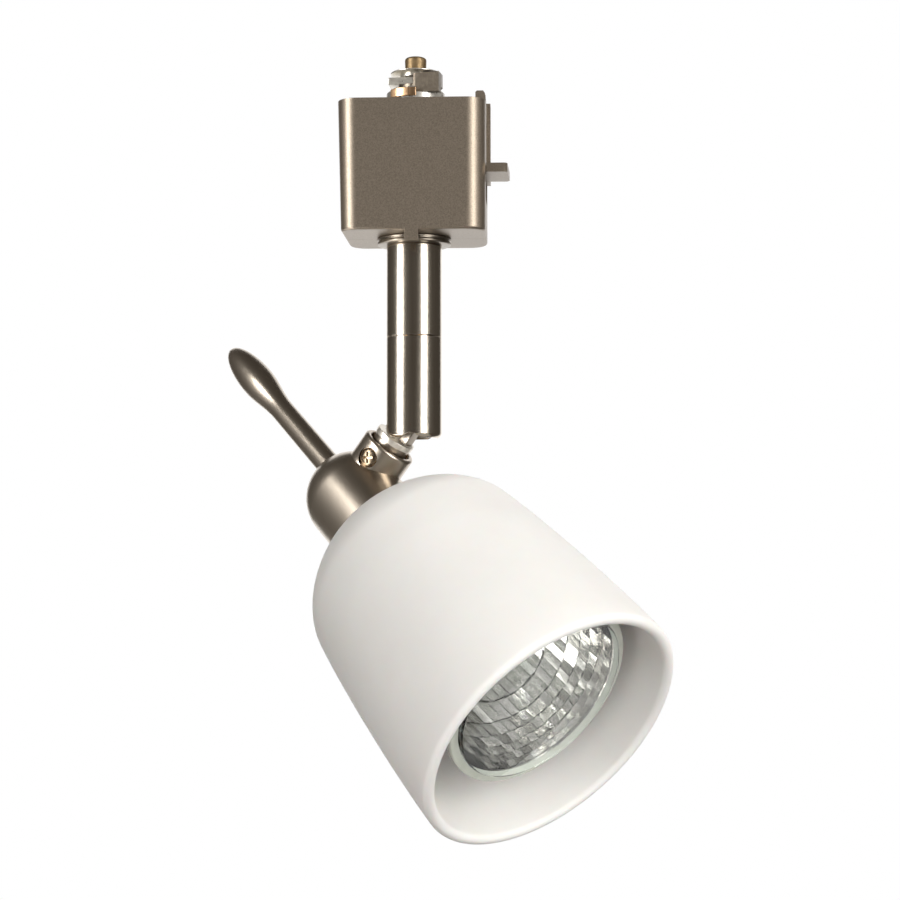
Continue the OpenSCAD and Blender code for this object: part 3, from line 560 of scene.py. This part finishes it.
shares = [MARGIN + (1 - 2 * MARGIN) * k / CELL for k in range(CELL + 1)]
for i in range(ROWS):
    for j in range(COLS):
        lean = LEAN * math.sin(2.4 * i + 1.9 * j)
        tip = TIP * math.cos(1.7 * i - 2.3 * j)
        left = j + 0.5 * (i % 2)
        ends = [[mirror_point((i + s) / ROWS, left + t) for t in (0, 1)] for s in (0, 1)]
        grid = [[facets.verts.new(pillow_point(ends, s, t, lean, tip)) for t in shares] for s in shares]
        for a in range(CELL):
            for b in range(CELL):
                facets.faces.new([grid[a][b], grid[a][b + 1], grid[a + 1][b + 1], grid[a + 1][b]])
add("lamp_facets", facets, LAMP, "head", "lamp_mirror", ["lamp_reflector"], 60)

CAPSULE_R = 4.6
capsule = bmesh.new()
lathe(capsule, [(0, 51.5), (4.4, 51.5), (CAPSULE_R, 52.5), (CAPSULE_R, 70)] + arc(0, 70.5, CAPSULE_R, 0, 62, 8)
      + [(1.1, 75.3), (0.5, 76), (0, 76.1)], 64, ALONG_X)
add("lamp_capsule_look", capsule, LAMP, "head", "clear_glass", ["lamp_capsule"])

pane = bmesh.new()
lathe(pane, [(0, LAMP_FRONT + 0.05), (22.9, LAMP_FRONT + 0.05)] + arc(22.5, LAMP_FRONT + 0.75, 0.6, -60, 80, 6)
      + [(0, LAMP_FRONT + 1.4)], place=ALONG_X)
add("lamp_cover_glass_look", pane, LAMP, "head", "clear_glass", ["lamp_cover_glass"])

# ---------------------------------------------------------------- carried-over nodes
CARRIED = {
    "stem_nipple": "thread_steel", "swivel_bush": "brass", "swivel_retainer": "spring_steel",
    "swivel_washer": "brass", "pin_spring": "spring_steel", "latch_spring": "spring_steel",
    "hinge_pin": "zinc_screw", "hinge_washers": "brass", "arm_retainer": "spring_steel",
    "boss_washer": "brass", "shade_gasket": "gasket", "shade_nipple": "thread_steel",
    "holder_bracket": "zinc_screw", "holder_screws": "zinc_screw", "lampholder": "ceramic",
    "holder_contacts": "contact", "lamp_base": "lamp_base", "lamp_pins": "zinc_screw",
    "lamp_filament": "filament",
}
for part, finish in CARRIED.items():
    paint(nodes[part], finish)

# ---------------------------------------------------------------- stage
AIM = Vector((0.010, 0.0, -0.09))
WARM = (1.0, 0.985, 0.965)


def glow(name, colour, strength):
    """A material that only gives off light."""
    mat = bpy.data.materials.new(name)
    mat.use_nodes = True
    tree = mat.node_tree
    tree.nodes.clear()
    out = tree.nodes.new("ShaderNodeOutputMaterial")
    emit = tree.nodes.new("ShaderNodeEmission")
    emit.inputs["Color"].default_value = (*colour, 1)
    emit.inputs["Strength"].default_value = strength
    tree.links.new(emit.outputs[0], out.inputs[0])
    return mat


def backdrop():
    """A pale floor that sweeps up into a round wall and a ceiling."""
    bm = bmesh.new()
    lathe(bm, [(0, -1100), (2500, -1100)] + arc(2500, -400, 700, -90, 0, 10) + [(3200, 1200)]
          + arc(2500, 1500, 700, 0, 90, 10) + [(0, 2200)], 96)
    mesh = bpy.data.meshes.new("floor")
    bm.to_mesh(mesh)
    bm.free()
    obj = bpy.data.objects.new("floor", mesh)
    bpy.context.scene.collection.objects.link(obj)
    obj.data.materials.append(glow("pale_floor", (1.0, 1.0, 1.0), 1.0))
    obj.visible_glossy = obj.visible_diffuse = obj.visible_shadow = False


def softbox(name, azimuth, height, width, tall, distance, power, colour=(1, 1, 1), shows=False):
    """Area light aimed at the object: one that shows is only mirrored in it, the others only light it.
    The azimuth is in degrees from the front, lengths are in metres and the power is in watts."""
    data = bpy.data.lights.new(name, "AREA")
    data.shape, data.size, data.size_y = "RECTANGLE", width, tall
    data.energy, data.color = power, colour
    obj = bpy.data.objects.new(name, data)
    bpy.context.scene.collection.objects.link(obj)
    a = math.radians(azimuth)
    obj.location = AIM + Vector((distance * math.sin(a), -distance * math.cos(a), height))
    obj.rotation_mode = "QUATERNION"
    obj.rotation_quaternion = (AIM + Vector((0, 0, height * 0.55)) - obj.location).to_track_quat("-Z", "Y")
    obj.visible_camera = False
    obj.visible_glossy, obj.visible_diffuse = shows, not shows


backdrop()
softbox("strip_right", 46, 0.18, 0.34, 1.05, 0.9, 11, shows=True)
softbox("strip_left", -57, 0.12, 0.32, 1.15, 0.9, 15, shows=True)
softbox("low_card", -90, -0.7, 0.9, 0.7, 0.5, 8, shows=True)
softbox("back_card", 180, 0.0, 1.3, 1.6, 1.0, 9, shows=True)
softbox("key_fill", 62, 0.45, 0.6, 1.2, 0.9, 7.9, WARM)
softbox("left_fill", -50, 0.0, 0.6, 1.5, 0.9, 4.0, WARM)
softbox("top_fill", 30, 0.95, 0.7, 0.5, 0.35, 1.8)
softbox("front_fill", 8, 0.15, 1.0, 1.0, 1.1, 4.6)
softbox("rear_fill", 185, 0.35, 1.2, 1.2, 1.1, 6)
softbox("low_fill", 30, -0.22, 0.8, 0.5, 0.8, 2.3)

world = bpy.data.worlds.new("studio")
bpy.context.scene.world = world
world.use_nodes = True
sky = world.node_tree.nodes["Background"]
sky.inputs["Color"].default_value = (0.085, 0.076, 0.066, 1)
sky.inputs["Strength"].default_value = 1.0

camera_data = bpy.data.cameras.new("camera")
camera_data.lens, camera_data.sensor_width = 68.7, 36
camera = bpy.data.objects.new("camera", camera_data)
bpy.context.scene.collection.objects.link(camera)
camera.location = (28.95 * MM, -447.6 * MM, -110.1 * MM)
camera.rotation_euler = (math.radians(92.656), 0, math.radians(2.5))
bpy.context.scene.camera = camera
bpy.context.scene.view_settings.view_transform = "Standard"
